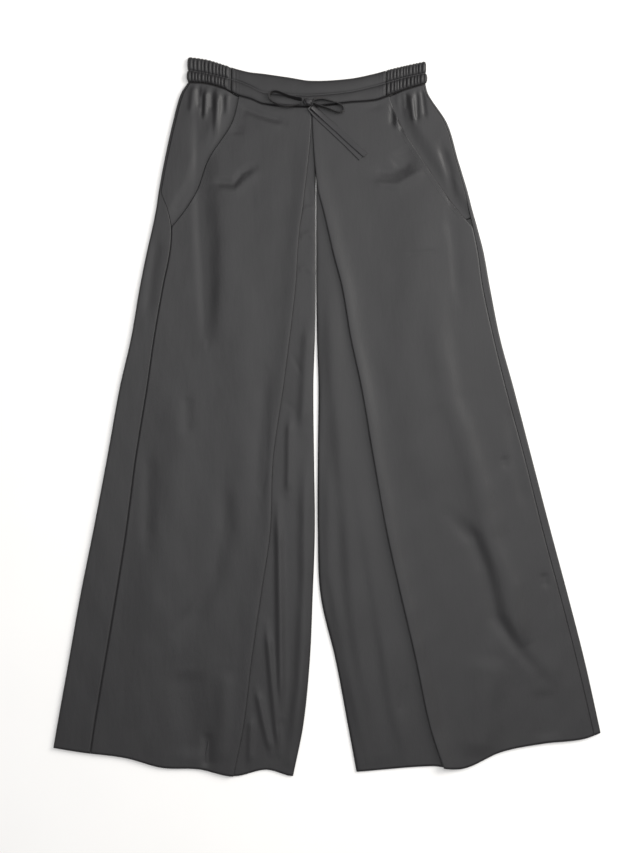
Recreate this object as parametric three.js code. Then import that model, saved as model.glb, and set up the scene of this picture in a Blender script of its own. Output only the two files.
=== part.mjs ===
// Black wide-leg hakama trousers, laid flat with the front up.
// Millimetres. X runs across the garment, Y up towards the waist, Z up from the surface it lies on.
// "Left" is the -X side and "right" the +X side, as the front is seen from above.
import * as THREE from "three";

// Cloth and layers
const cloth = 1.0; // wall of one layer of cloth
const seamGap = 0.3; // clear space between pieces sewn to each other, and between layers
const waistGap = 0.6; // clear space along the waist seam, where the edges curve
const layer = cloth + seamGap; // height from one layer to the next
const backHeight = cloth / 2; // middle of the back panels, flat on the surface
const underlayHeight = backHeight + layer; // middle of the pleat's lowest layer
const frontHeight = underlayHeight + 2 * layer; // middle of the front's top layer, on the folded pleat
const pleatDepth = 45; // how far the cloth goes back under itself at each front pleat
const foldSteps = 4; // straight steps round each folded edge
const backSteps = 8; // straight steps across each back panel

// Sections of the legs: 0 is the waist seam and 1 the hem. The pockets end at the seventh.
const rowPlaces = [
  0, 0.032, 0.068, 0.106, 0.146, 0.178, 0.212, 0.26, 0.32, 0.39, 0.46, 0.54, 0.62, 0.7, 0.78, 0.86, 0.93, 1,
];
const facingRows = 7;

// Waistband
const casing = 2.1; // front or back of the band: two layers of cloth with elastic between
const casingPuff = 0.9; // how far each elastic row swells above the stitching beside it
const elasticEndLeft = -134; // where the gathered part of the band meets its smooth front
const elasticEndRight = 82;
const gatherPitch = 7.5; // from one gather to the next
const gatherHeight = 0.8;

// Drawcord
const tapeWidth = 8;
const tapeThickness = 1.2;
const knotSize = { x: 15, y: 12, z: 8.4 };
const knotCentre = { x: -27, y: 438.5, z: 10.9 };

// Heights and half-widths of the garment's long lines, a row for each section across it:
// the outer edges, the side seams, the folded edges of the front pleat, and the edges at the middle.
const sections = [
  { y: 468, outerLeft: -194, seamLeft: -191, foldLeft: -22, midLeft: -16, midRight: -15, foldRight: -21, seamRight: 134, outerRight: 137 },
  { y: 450, outerLeft: -205, seamLeft: -202, foldLeft: -22, midLeft: -16, midRight: -15, foldRight: -21, seamRight: 139, outerRight: 142 },
  { y: 410, outerLeft: -216, seamLeft: -213, foldLeft: -22, midLeft: -16, midRight: -15, foldRight: -21, seamRight: 165, outerRight: 168 },
  { y: 360, outerLeft: -227, seamLeft: -224, foldLeft: -26, midLeft: -16, midRight: -15, foldRight: -18, seamRight: 180, outerRight: 183 },
  { y: 317, outerLeft: -235, seamLeft: -232, foldLeft: -31, midLeft: -16, midRight: -15, foldRight: -13, seamRight: 192, outerRight: 196 },
  { y: 290, outerLeft: -239, seamLeft: -223, foldLeft: -34, midLeft: -16, midRight: -15, foldRight: -6, seamRight: 198, outerRight: 203 },
  { y: 265, outerLeft: -244, seamLeft: -218, foldLeft: -38, midLeft: -16, midRight: -15, foldRight: 0, seamRight: 204, outerRight: 210 },
  { y: 230, outerLeft: -252, seamLeft: -220, foldLeft: -41, midLeft: -16, midRight: -15, foldRight: 8, seamRight: 211, outerRight: 219 },
  { y: 180, outerLeft: -262, seamLeft: -230, foldLeft: -44, midLeft: -16, midRight: -15, foldRight: 21, seamRight: 218, outerRight: 228 },
  { y: 110, outerLeft: -274, seamLeft: -242, foldLeft: -52, midLeft: -17, midRight: -14, foldRight: 33, seamRight: 233, outerRight: 242 },
  { y: 40, outerLeft: -290, seamLeft: -252, foldLeft: -61, midLeft: -19, midRight: -12, foldRight: 48, seamRight: 250, outerRight: 261 },
  { y: -60, outerLeft: -308, seamLeft: -268, foldLeft: -75, midLeft: -18, midRight: -13, foldRight: 65, seamRight: 277, outerRight: 287 },
  { y: -160, outerLeft: -327, seamLeft: -281, foldLeft: -79, midLeft: -17, midRight: -13, foldRight: 83, seamRight: 302, outerRight: 313 },
  { y: -250, outerLeft: -345, seamLeft: -295, foldLeft: -92, midLeft: -20, midRight: -9, foldRight: 103, seamRight: 326, outerRight: 337 },
  { y: -340, outerLeft: -361, seamLeft: -310, foldLeft: -105, midLeft: -24, midRight: 12, foldRight: 124, seamRight: 349, outerRight: 360 },
  { y: -430, outerLeft: -377, seamLeft: -325, foldLeft: -116, midLeft: -33, midRight: 29, foldRight: 143, seamRight: 370, outerRight: 380 },
  { y: -500, outerLeft: -389, seamLeft: -335, foldLeft: -130, midLeft: -47, midRight: 42, foldRight: 166, seamRight: 385, outerRight: 395 },
];

// Mouths of the slant pockets, from the waistband down to the side seams.
const pocketMouth = [
  { y: 468, left: -120, right: 80 },
  { y: 450, left: -123, right: 86 },
  { y: 410, left: -134, right: 102 },
  { y: 360, left: -166, right: 133 },
  { y: 317, left: -182, right: 162 },
  { y: 290, left: -198, right: 182 },
  { y: 265, left: -218, right: 204 },
];
const pocketFoot = 265; // height at which the mouths reach the side seams
const turnRoom = 3.2; // least distance from an outer edge to the side seam beside it
const facingTuck = 15; // how far each hip piece goes in under the front at the mouth
const facingRise = 24; // how far outside the mouth it comes up level with the front

// The waistband's three lines: its top edge, the stitching between its two rows, and its foot.
const waistLines = [
  { x: -194, top: 502, stitching: 484, foot: 468 },
  { x: -167, top: 498, stitching: 479, foot: 466 },
  { x: -141, top: 490, stitching: 473, foot: 458 },
  { x: -125, top: 485, stitching: 469, foot: 450 },
  { x: -108, top: 481, stitching: 462, foot: 445 },
  { x: -90, top: 479, stitching: 453, foot: 438 },
  { x: -55, top: 474, stitching: 450, foot: 435 },
  { x: -21, top: 469, stitching: 449, foot: 434 },
  { x: 32, top: 472, stitching: 454, foot: 440 },
  { x: 67, top: 479, stitching: 462, foot: 443 },
  { x: 85, top: 484, stitching: 467, foot: 449 },
  { x: 110, top: 490, stitching: 474, foot: 458 },
  { x: 138, top: 496, stitching: 480, foot: 466 },
];

// The hem, from the left outer corner to the right one.
const hem = [
  { x: -388, y: -461 },
  { x: -346, y: -468 },
  { x: -283, y: -476 },
  { x: -230, y: -490 },
  { x: -180, y: -492 },
  { x: -130, y: -502 },
  { x: -85, y: -493 },
  { x: -47, y: -502 },
  { x: 41, y: -496 },
  { x: 144, y: -488 },
  { x: 190, y: -491 },
  { x: 243, y: -468 },
  { x: 304, y: -456 },
  { x: 357, y: -450 },
  { x: 390, y: -438 },
];

// The largest folds of the front's top layer: a line of points, half-width, and height above the flat cloth.
const folds = [
  { name: "left hip trough", line: [[-181, 430], [-177, 360], [-170, 260], [-162, 130]], width: 13, height: -1.2 },
  { name: "left gather", line: [[-152, 445], [-163, 367]], width: 10, height: 2.5 },
  { name: "left leg trough", line: [[-144, -98], [-158, -220], [-207, -297]], width: 18, height: -2.5 },
  { name: "left hem trough", line: [[-190, -370], [-180, -480]], width: 20, height: -2 },
  { name: "right hip trough", line: [[150, 400], [171, 338], [176, 280]], width: 11, height: -1.2 },
  { name: "right gather", line: [[97, 430], [98, 375]], width: 10, height: 2.5 },
  { name: "right leg ridge", line: [[158, 122], [189, -21], [227, -171], [269, -325], [311, -356]], width: 22, height: 2.6 },
  { name: "right leg trough", line: [[171, -136], [220, -213], [297, -363]], width: 14, height: -2.5 },
];

// The folds of the pleat's visible underlays.
const underlayFolds = [
  { name: "left underlay ridge", line: [[-67, -126], [-67, -411]], width: 9, height: 2 },
  { name: "left underlay swell", line: [[-34, 90], [-40, -80], [-34, -300]], width: 10, height: 1.5 },
  { name: "right underlay swell", line: [[30, -60], [45, -200], [85, -400]], width: 22, height: 2 },
];

const mix = THREE.MathUtils.lerp;
const smooth = THREE.MathUtils.smoothstep;

/** Value of one column of a table, on a smooth curve, where another column has the value `place`. */
function along(table, key, place, column) {
  const turned = Math.sign(table[table.length - 1][key] - table[0][key]);
  const last = table.length - 1;
  let i = 0;
  while (i < last - 1 && turned * place > turned * table[i + 1][key]) i += 1;
  const slope = (k) => {
    const before = table[Math.max(k - 1, 0)];
    const after = table[Math.min(k + 1, last)];
    return (after[column] - before[column]) / (after[key] - before[key]);
  };
  const span = table[i + 1][key] - table[i][key];
  const share = THREE.MathUtils.clamp((place - table[i][key]) / span, 0, 1);
  const beyond = place - table[i][key] - share * span;
  const [from, to] = [table[i][column], table[i + 1][column]];
  const [leaving, arriving] = [slope(i) * span, slope(i + 1) * span];
  const back = 1 - share;
  return from * (1 + 2 * share) * back ** 2 + to * (3 - 2 * share) * share ** 2
    + leaving * share * back ** 2 - arriving * back * share ** 2 + slope(share < 0.5 ? i : i + 1) * beyond;
}

const waistAt = (x, line) => along(waistLines, "x", x, line);
const edgeAt = (y, line) => along(sections, "y", y, line);

/** Height Y of a row of the legs at x: 0 is the waist seam and 1 the hem. */
function rowY(x, row) {
  return mix(waistAt(x, "foot") - waistGap, along(hem, "x", x, "y"), row);
}

/** X at which a row crosses one of the garment's long lines. */
function crossing(row, lineAt, start) {
  let x = start;
  for (let i = 0; i < 12; i += 1) x = lineAt(rowY(x, row));
  return x;
}

const sideName = (side) => (side < 0 ? "Left" : "Right");

/** Side seam, never nearer the outer edge than the cloth needs to turn round it. */
function sideSeam(y, side) {
  const seam = edgeAt(y, `seam${sideName(side)}`);
  const outer = edgeAt(y, `outer${sideName(side)}`);
  return side * Math.min(side * seam, side * outer - turnRoom);
}

/** Outer edge of the front's top layer on one side: the pocket mouth, then the side seam. */
function frontEdge(y, side) {
  if (y < pocketFoot) return sideSeam(y, side);
  return along(pocketMouth, "y", y, sideName(side).toLowerCase());
}

/** Distance from a point to a line of points, and how far along the line it lies, from 0 to 1. */
function fromLine(x, y, line) {
  const here = new THREE.Vector3(x, y, 0);
  const nearest = new THREE.Vector3();
  let best = { distance: Infinity, share: 0 };
  for (let i = 0; i < line.length - 1; i += 1) {
    const start = new THREE.Vector3(...line[i], 0);
    const end = new THREE.Vector3(...line[i + 1], 0);
    const step = new THREE.Line3(start, end);
    const at = step.closestPointToPointParameter(here, true);
    step.at(at, nearest);
    const distance = nearest.distanceTo(here);
    if (distance < best.distance) best = { distance, share: (i + at) / (line.length - 1) };
  }
  return best;
}

/** Sum of the soft ridges and troughs at a point. */
function relief(x, y, table) {
  let height = 0;
  for (const fold of table) {
    const { distance, share } = fromLine(x, y, fold.line);
    const ends = Math.sqrt(Math.max(0, Math.sin(Math.PI * mix(0.12, 0.88, share))));
    height += fold.height * ends * Math.exp(-((distance / fold.width) ** 2));
  }
  return height;
}

const topZ = (x, y) => frontHeight + relief(x, y, folds);
const underlayZ = (x, y) => underlayHeight + relief(x, y, underlayFolds);

/** Points round a folded edge, from one layer to another below or above it; `facing` is -1 or 1 along X. */
function foldedEdge(edgeX, facing, fromZ, toZ) {
  const radius = Math.abs(fromZ - toZ) / 2;
  const middleX = edgeX - facing * (cloth / 2 + radius);
  const middleZ = (fromZ + toZ) / 2;
  const points = [];
  for (let i = 0; i <= foldSteps; i += 1) {
    const turn = (Math.PI * i) / foldSteps;
    const z = middleZ + ((fromZ - toZ) / 2) * Math.cos(turn);
    points.push({ x: middleX + facing * radius * Math.sin(turn), z });
  }
  return points;
}

/** A closed wall of even thickness on a grid of middle points, row by row. */
function wall(rows, thickness) {
  const rowCount = rows.length;
  const across = rows[0].length;
  const direction = (a, b, c) => {
    const total = new THREE.Vector3();
    if (a) total.add(b.clone().sub(a).normalize());
    if (c) total.add(c.clone().sub(b).normalize());
    return total.normalize();
  };
  const positions = [];
  for (const side of [1, -1]) {
    for (let i = 0; i < rowCount; i += 1) {
      for (let j = 0; j < across; j += 1) {
        const here = rows[i][j];
        const sideways = direction(rows[i][j - 1], here, rows[i][j + 1]);
        const down = direction(rows[i - 1]?.[j], here, rows[i + 1]?.[j]);
        const out = sideways.cross(down).normalize();
        const half = (typeof thickness === "number" ? thickness : thickness(i, j, side)) / 2;
        const point = here.clone().addScaledVector(out, side * half);
        positions.push(point.x, point.y, point.z);
      }
    }
  }
  return closedGrid(positions, rowCount, across);
}

/** Joins two grids of points, one after the other in `positions`, into one closed body. */
function closedGrid(positions, rowCount, across) {
  const second = rowCount * across;
  const at = (i, j) => i * across + j;
  const faces = [];
  const quad = (a, b, c, d) => faces.push(a, b, c, a, c, d);
  for (let i = 0; i < rowCount - 1; i += 1) {
    for (let j = 0; j < across - 1; j += 1) {
      quad(at(i, j), at(i + 1, j), at(i + 1, j + 1), at(i, j + 1));
      quad(second + at(i, j), second + at(i, j + 1), second + at(i + 1, j + 1), second + at(i + 1, j));
    }
  }
  const rim = [];
  for (let j = 0; j < across; j += 1) rim.push(at(0, j));
  for (let i = 1; i < rowCount; i += 1) rim.push(at(i, across - 1));
  for (let j = across - 2; j >= 0; j -= 1) rim.push(at(rowCount - 1, j));
  for (let i = rowCount - 2; i > 0; i -= 1) rim.push(at(i, 0));
  rim.forEach((a, k) => {
    const b = rim[(k + 1) % rim.length];
    quad(a, b, second + b, second + a);
  });
  const geometry = new THREE.BufferGeometry();
  geometry.setAttribute("position", new THREE.Float32BufferAttribute(positions, 3));
  geometry.setIndex(enclosedVolume(positions, faces) < 0 ? faces.reverse() : faces);
  geometry.computeVertexNormals();
  return geometry;
}

/** Volume inside the faces, negative when they point inwards. */
function enclosedVolume(positions, faces) {
  const corner = (k) => new THREE.Vector3().fromArray(positions, faces[k] * 3);
  let six = 0;
  for (let k = 0; k < faces.length; k += 3) six += corner(k).dot(corner(k + 1).cross(corner(k + 2)));
  return six / 6;
}

/** Even steps from one number to another, both included. */
function steps(from, to, count) {
  return Array.from({ length: count + 1 }, (_, i) => mix(from, to, i / count));
}

/** Front panel: side seam to pleat fold on top, back under itself, then the underlay to the middle. */
function frontPanel(side) {
  const name = sideName(side);
  const rows = rowPlaces.map((row) => {
    const clear = (side * seamGap) / 2;
    const outer = crossing(row, (y) => frontEdge(y, side), side * 100) - clear;
    const fold = crossing(row, (y) => edgeAt(y, `fold${name}`), side * 50) + clear;
    const middle = crossing(row, (y) => edgeAt(y, `mid${name}`), 0) + clear;
    const crease = fold + side * pleatDepth;
    const point = (x, z) => new THREE.Vector3(x, rowY(x, row), z);
    const onTop = (x) => topZ(x, rowY(x, row));
    const under = (x) => underlayZ(x, rowY(x, row));

    const hiddenZ = underlayHeight + layer;
    const foldTurn = foldedEdge(fold, -side, onTop(fold), hiddenZ);
    const creaseTurn = foldedEdge(crease, side, hiddenZ, underlayHeight);
    const top = steps(outer, foldTurn[0].x, 13).slice(0, -1);
    const lowest = steps(creaseTurn[foldSteps].x, middle, 8).slice(1);
    const tucked = (x) => mix(under(x), underlayHeight, smooth(side * x, side * fold - 4, side * fold + 4));
    return [
      ...top.map((x) => point(x, onTop(x))),
      ...foldTurn.map(({ x, z }) => point(x, z)),
      point((foldTurn[foldSteps].x + creaseTurn[0].x) / 2, hiddenZ),
      ...creaseTurn.map(({ x, z }) => point(x, z)),
      ...lowest.map((x) => point(x, tucked(x))),
    ];
  });
  return wall(rows, cloth);
}

/** Back panel: flat from the middle to the outer edge, then round it onto the front up to the side seam. */
function backPanel(side) {
  const name = sideName(side);
  const rows = rowPlaces.map((row) => {
    const clear = (side * seamGap) / 2;
    const middle = crossing(row, (y) => edgeAt(y, `mid${name}`), 0) + clear;
    const outer = crossing(row, (y) => edgeAt(y, `outer${name}`), side * 100);
    const seam = crossing(row, (y) => sideSeam(y, side), side * 100) + clear;
    const point = (x, z) => new THREE.Vector3(x, rowY(x, row), z);
    const turn = foldedEdge(outer, side, backHeight, topZ(outer, rowY(outer, row)));
    const onTop = steps(turn[foldSteps].x, seam, 2).slice(1);
    return [
      ...steps(middle, turn[0].x, backSteps).slice(0, -1).map((x) => point(x, backHeight)),
      ...turn.map(({ x, z }) => point(x, z)),
      ...onTop.map((x) => point(x, topZ(x, rowY(x, row)))),
    ];
  });
  return wall(rows, cloth);
}

/** Hip piece that shows in a pocket mouth, from the side seam to a little way under the front. */
function pocketFacing(side) {
  const rows = rowPlaces.slice(0, facingRows).map((row) => {
    const outer = crossing(row, (y) => sideSeam(y, side), side * 100) - side * seamGap;
    const mouth = crossing(row, (y) => frontEdge(y, side), side * 100);
    return steps(outer, mouth - side * facingTuck, 10).map((x) => {
      const y = rowY(x, row);
      const clearOfFront = smooth(side * (x - mouth), 4, facingRise);
      return new THREE.Vector3(x, y, mix(underlayHeight, topZ(x, y), clearOfFront));
    });
  });
  return wall(rows, cloth);
}

/** Points up the waistband at x, foot to top; `puff` is how far each one stands out. */
function bandPoints(x) {
  const foot = waistAt(x, "foot");
  const stitching = waistAt(x, "stitching");
  const top = waistAt(x, "top");
  return [
    { y: foot, puff: 0 },
    { y: mix(foot, stitching, 0.3), puff: 1 },
    { y: mix(foot, stitching, 0.7), puff: 1 },
    { y: stitching, puff: 0 },
    { y: mix(stitching, top, 0.3), puff: 1 },
    { y: mix(stitching, top, 0.7), puff: 1 },
    { y: top, puff: 0 },
  ];
}

/** Smooth front of the waistband, between the two gathered ends. */
function waistbandFront() {
  const rows = steps(elasticEndRight - seamGap, elasticEndLeft + seamGap, 24).map((x) =>
    bandPoints(x).map(({ y }) => new THREE.Vector3(x, y, frontHeight)));
  const puffs = bandPoints(0).map(({ puff }) => puff);
  const thickness = (i, j, side) => casing + (side > 0 ? 2 * casingPuff * puffs[j] : 0);
  return wall(rows, thickness);
}

/** Elastic part of the waistband: gathered on the front at both ends, and flat right across the back. */
function waistbandElastic() {
  const bandLeft = waistLines[0].x;
  const bandRight = waistLines[waistLines.length - 1].x;
  const backMiddle = casing / 2;
  const half = (frontHeight - backMiddle) / 2;
  const turn = (edge, facing) => {
    const centre = edge - facing * (half + casing / 2);
    return steps(0, Math.PI, foldSteps + 1).map((angle) => (
      { x: centre + facing * half * Math.sin(angle), z: frontHeight - half + half * Math.cos(angle), front: false }));
  };
  const leftTurn = turn(bandLeft, -1);
  const rightTurn = turn(bandRight, 1).reverse();
  const across = (from, to, pitch) => steps(from, to, Math.round(Math.abs(to - from) / pitch));
  const bandFoot = waistAt(0, "foot");
  const frontAt = (x) => ({ x, z: frontHeight, front: true });
  const onBack = (x) => ({ x, z: backMiddle, front: false });
  const path = [
    ...across(elasticEndLeft - seamGap, leftTurn[0].x, gatherPitch / 2).slice(0, -1).map(frontAt),
    ...leftTurn,
    ...steps(leftTurn[foldSteps + 1].x, edgeAt(bandFoot, "midLeft"), backSteps).slice(1, -1).map(onBack),
    ...steps(edgeAt(bandFoot, "midRight"), rightTurn[0].x, backSteps).slice(0, -1).map(onBack),
    ...rightTurn,
    ...across(rightTurn[foldSteps + 1].x, elasticEndRight + seamGap, gatherPitch / 2).slice(1).map(frontAt),
  ];
  const rows = path.map(({ x, z }) => {
    const held = THREE.MathUtils.clamp(x, bandLeft, bandRight);
    return bandPoints(held).map(({ y }) => new THREE.Vector3(x, y, z));
  });
  const puffs = bandPoints(0).map(({ puff }) => puff);
  const thickness = (i, j, side) => {
    if (side < 0 || !path[i].front) return casing;
    return casing + 2 * puffs[j] * (casingPuff + (i % 2 ? gatherHeight : 0));
  };
  return wall(rows, thickness);
}

/** A flat tape along a curve; `upright` stands it on its edge. */
function tape(points, upright) {
  const curve = new THREE.CatmullRomCurve3(points.map((p) => new THREE.Vector3(...p)));
  const high = (upright ? tapeWidth : tapeThickness) / 2;
  const wide = (upright ? tapeThickness : tapeWidth) / 2;
  const outline = steps(0, 2 * Math.PI, 8).slice(0, -1).map((angle) => (
    new THREE.Vector2(high * Math.cos(angle), wide * Math.sin(angle))));
  return new THREE.ExtrudeGeometry(new THREE.Shape(outline), {
    extrudePath: curve,
    steps: Math.round(curve.getLength() / 6),
  });
}

// The drawcord's routes, each from the knot outwards.
const leftLoop = [
  [-35.2, 442.5, 10.8], [-41, 443.6, 10.6], [-47, 445, 10.6], [-53, 446.6, 10.5], [-59, 449, 10.5],
  [-65, 451.6, 10.5], [-71, 453.4, 10.5], [-77, 452.6, 10.5], [-80.6, 448.6, 10.5], [-80.2, 443.6, 10.5],
  [-76, 439, 10.5], [-69, 435.6, 10.5], [-62, 433.6, 10.5], [-55, 432.8, 10.5], [-48, 433.6, 10.6],
  [-41, 435.2, 10.6], [-35.4, 437, 10.8],
];
const rightLoop = [
  [-18.8, 441.8, 10.8], [-13, 443.4, 10.6], [-7, 443.8, 10.6], [-1, 442.6, 10.5], [5, 440.8, 10.5],
  [11, 438.8, 10.5], [16, 437, 10.4], [20.4, 434.4, 10.2], [23, 430.8, 10], [22.4, 426.8, 9.8],
  [18, 424.8, 9.8], [12, 425.8, 9.8], [6, 428, 10], [0, 430, 10.2], [-6, 431.8, 10.4],
  [-12.6, 434, 10.6], [-19.2, 436.6, 10.8],
];
const lowerTail = [
  [-24.5, 431.8, 8.6], [-21.4, 427.8, 7.2], [-17.4, 423.4, 6.3], [-13, 419, 5.9], [-8.4, 414.6, 5.8],
  [-3.6, 410, 5.8], [1.4, 405.4, 5.8], [6.4, 400.8, 5.8], [11.4, 396, 5.8], [16.4, 391.4, 5.8],
  [21.4, 386.6, 5.8], [26.4, 382, 5.8], [31.4, 377, 5.8], [37.4, 371, 5.8], [43, 365.4, 5.8],
  [47.4, 361, 5.8],
];
const upperTail = [
  [-20.8, 432.4, 9.8], [-16.8, 429, 8.6], [-12.2, 425, 7.8], [-7.6, 420.8, 7.4], [-3, 416.6, 7.3],
  [2, 412, 7.3], [7, 407.4, 7.3], [12, 402.8, 7.3], [17, 398.2, 7.3], [22, 393.4, 7.3],
  [27, 388.8, 7.3], [32, 384.2, 7.3], [37, 379.6, 7.3], [42.4, 375, 7.3], [48, 370, 7.3],
  [53.4, 365.4, 7.3],
];

/** The bow's knot: the drawcord wound over itself. */
function knot() {
  const ball = new THREE.SphereGeometry(0.5, 14, 10);
  ball.rotateX(Math.PI / 2);
  ball.scale(knotSize.x, knotSize.y, knotSize.z);
  return ball;
}

const blackTwill = { color: 0x1f1e20, roughness: 0.55, metalness: 0 };
const blackCasing = { color: 0x1d1c1e, roughness: 0.6, metalness: 0 };
const blackTape = { color: 0x1a1a1c, roughness: 0.7, metalness: 0 };
const garment = new THREE.Group();

function add(name, geometry, finish) {
  const mesh = new THREE.Mesh(geometry, new THREE.MeshStandardMaterial(finish));
  mesh.name = name;
  garment.add(mesh);
  return mesh;
}

for (const [side, name] of [[-1, "left"], [1, "right"]]) {
  add(`back_${name}`, backPanel(side), blackTwill);
  add(`front_${name}`, frontPanel(side), blackTwill);
  add(`pocket_facing_${name}`, pocketFacing(side), blackTwill);
}
add("waistband_elastic", waistbandElastic(), blackCasing);
add("waistband_front", waistbandFront(), blackCasing);
add("drawcord_knot", knot(), blackTape).position.set(knotCentre.x, knotCentre.y, knotCentre.z);
add("drawcord_loop_left", tape(leftLoop, true), blackTape);
add("drawcord_loop_right", tape(rightLoop, true), blackTape);
add("drawcord_tail_lower", tape(lowerTail, false), blackTape);
add("drawcord_tail_upper", tape(upperTail, false), blackTape);

export default garment;
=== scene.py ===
# Black wide-leg hakama trousers, laid flat with the front up, on a plain pale floor.
# Sizes are millimetres in the garment's own frame: X to the right of the front as it is seen,
# Y up to the waist, Z up off the floor. They become metres where each mesh is made.
import math

import bpy
import numpy as np
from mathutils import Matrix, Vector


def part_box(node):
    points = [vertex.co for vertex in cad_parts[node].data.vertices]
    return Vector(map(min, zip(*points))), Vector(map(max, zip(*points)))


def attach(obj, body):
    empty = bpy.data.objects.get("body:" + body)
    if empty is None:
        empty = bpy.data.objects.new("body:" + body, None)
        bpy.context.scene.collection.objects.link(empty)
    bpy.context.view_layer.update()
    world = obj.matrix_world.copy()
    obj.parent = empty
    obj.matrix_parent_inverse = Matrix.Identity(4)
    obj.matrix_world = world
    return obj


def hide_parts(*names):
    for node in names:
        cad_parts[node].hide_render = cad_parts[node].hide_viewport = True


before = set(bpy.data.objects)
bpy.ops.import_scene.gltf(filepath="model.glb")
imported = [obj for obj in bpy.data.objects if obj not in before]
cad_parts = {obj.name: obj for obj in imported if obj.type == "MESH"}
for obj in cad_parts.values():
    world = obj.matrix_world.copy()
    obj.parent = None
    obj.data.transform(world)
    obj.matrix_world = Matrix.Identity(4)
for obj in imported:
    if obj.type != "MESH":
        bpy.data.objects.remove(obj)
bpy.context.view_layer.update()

MM = 0.001

# --- Floor, light and view -----------------------------------------------------------------------
# The garment lies on a plain pale floor, seen from straight above. One large soft light stands to
# its upper right, so that the sateen shines on slopes that face it, and a weak one hangs overhead.


def linear(hex_colour, alpha=1.0):
    """An sRGB hex colour as the linear values that sockets take."""
    parts = [int(hex_colour[i:i + 2], 16) / 255 for i in (0, 2, 4)]
    return (*[c / 12.92 if c < 0.04045 else ((c + 0.055) / 1.055) ** 2.4 for c in parts], alpha)


def add_node(tree, kind, inputs=None, **settings):
    """Adds a node with its settings; inputs are values, or output sockets to link."""
    made = tree.nodes.new(kind)
    for name, value in settings.items():
        setattr(made, name, value)
    for name, value in (inputs or {}).items():
        if isinstance(value, bpy.types.NodeSocket):
            tree.links.new(value, made.inputs[name])
        else:
            made.inputs[name].default_value = value
    return made


def new_material(name):
    """An empty material and its node tree, with only an output."""
    material = bpy.data.materials.new(name)
    material.use_nodes = True
    material.node_tree.nodes.clear()
    return material, material.node_tree


def painted_floor():
    """Matt off-white floor paint: even, with a very faint unevenness from the roller."""
    material, tree = new_material("matt floor paint")
    place = add_node(tree, "ShaderNodeTexCoord").outputs["Object"]
    grain = add_node(tree, "ShaderNodeTexNoise", {"Vector": place, "Scale": 9.0, "Detail": 4.0})
    tone = add_node(tree, "ShaderNodeMixRGB", {
        "Fac": grain.outputs["Fac"], "Color1": linear("eeedeb"), "Color2": linear("f2f1ef")})
    paint = add_node(tree, "ShaderNodeBsdfPrincipled", {"Base Color": tone.outputs[0], "Roughness": 0.8})
    add_node(tree, "ShaderNodeOutputMaterial", {"Surface": paint.outputs[0]})
    return material


def area_light(name, place, aim, size, watts, colour):
    """A square soft light in millimetres, turned to face a point."""
    light = bpy.data.lights.new(name, "AREA")
    light.size = size * MM
    light.energy = watts
    light.color = linear(colour)[:3]
    lamp = bpy.data.objects.new(name, light)
    lamp.location = [v * MM for v in place]
    away = lamp.location - type(lamp.location)([v * MM for v in aim])
    lamp.rotation_euler = away.to_track_quat("Z", "Y").to_euler()
    bpy.context.scene.collection.objects.link(lamp)


floor_half = 4000
floor_mesh = bpy.data.meshes.new("floor")
floor_mesh.from_pydata([(x * MM, y * MM, 0) for x, y in (
    (-floor_half, -floor_half), (floor_half, -floor_half),
    (floor_half, floor_half), (-floor_half, floor_half))], [], [(0, 1, 2, 3)])
floor = bpy.data.objects.new("floor", floor_mesh)
floor.data.materials.append(painted_floor())
bpy.context.scene.collection.objects.link(floor)

area_light("window", (1900, 1000, 1500), (0, 0, 0), 1300, 62, "fffdfa")
area_light("ceiling", (200, 300, 2600), (0, 0, 0), 2400, 44, "ffffff")

world = bpy.data.worlds.new("pale room")
world.use_nodes = True
world.node_tree.nodes["Background"].inputs["Color"].default_value = linear("f4f4f6")
world.node_tree.nodes["Background"].inputs["Strength"].default_value = 0.42
bpy.context.scene.world = world
bpy.context.scene.view_settings.view_transform = "Standard"

view_height = 1900
view_tall = 1194
view_centre = (-9.8, -13.3)
lens = bpy.data.cameras.new("view from above")
lens.sensor_width = 36
lens.lens = 36 * view_height / view_tall
camera = bpy.data.objects.new("view from above", lens)
camera.location = (view_centre[0] * MM, view_centre[1] * MM, view_height * MM)
bpy.context.scene.collection.objects.link(camera)
bpy.context.scene.camera = camera

# --- Drawcord ------------------------------------------------------------------------------------
# A flat tape of the garment's own cloth, folded in and stitched, tied in a bow over the front of
# the waistband. The loops stand half on edge and the two free ends lie on each other.
tape_width = 8
tape_thickness = 1.2
tape_corner_points = 5
left_loop = [
    (-35.2, 442.5, 10.8), (-41, 443.6, 10.6), (-47, 445, 10.6), (-53, 446.6, 10.5), (-59, 449, 10.5),
    (-65, 451.6, 10.5), (-71, 453.4, 10.5), (-77, 452.6, 10.5), (-80.6, 448.6, 10.5), (-80.2, 443.6, 10.5),
    (-76, 439, 10.5), (-69, 435.6, 10.5), (-62, 433.6, 10.5), (-55, 432.8, 10.5), (-48, 433.6, 10.6),
    (-41, 435.2, 10.6), (-35.4, 437, 10.8)]
right_loop = [
    (-18.8, 441.8, 10.8), (-13, 443.4, 10.6), (-7, 443.8, 10.6), (-1, 442.6, 10.5), (5, 440.8, 10.5),
    (11, 438.8, 10.5), (16, 437, 10.4), (20.4, 434.4, 10.2), (23, 430.8, 10), (22.4, 426.8, 9.8),
    (18, 424.8, 9.8), (12, 425.8, 9.8), (6, 428, 10), (0, 430, 10.2), (-6, 431.8, 10.4),
    (-12.6, 434, 10.6), (-19.2, 436.6, 10.8)]
lower_tail = [
    (-24.5, 431.8, 8.6), (-21.4, 427.8, 7.2), (-17.4, 423.4, 6.3), (-13, 419, 5.9), (-8.4, 414.6, 5.8),
    (-3.6, 410, 5.8), (1.4, 405.4, 5.8), (6.4, 400.8, 5.8), (11.4, 396, 5.8), (16.4, 391.4, 5.8),
    (21.4, 386.6, 5.8), (26.4, 382, 5.8), (31.4, 377, 5.8), (37.4, 371, 5.8), (43, 365.4, 5.8),
    (47.4, 361, 5.8)]
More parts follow.
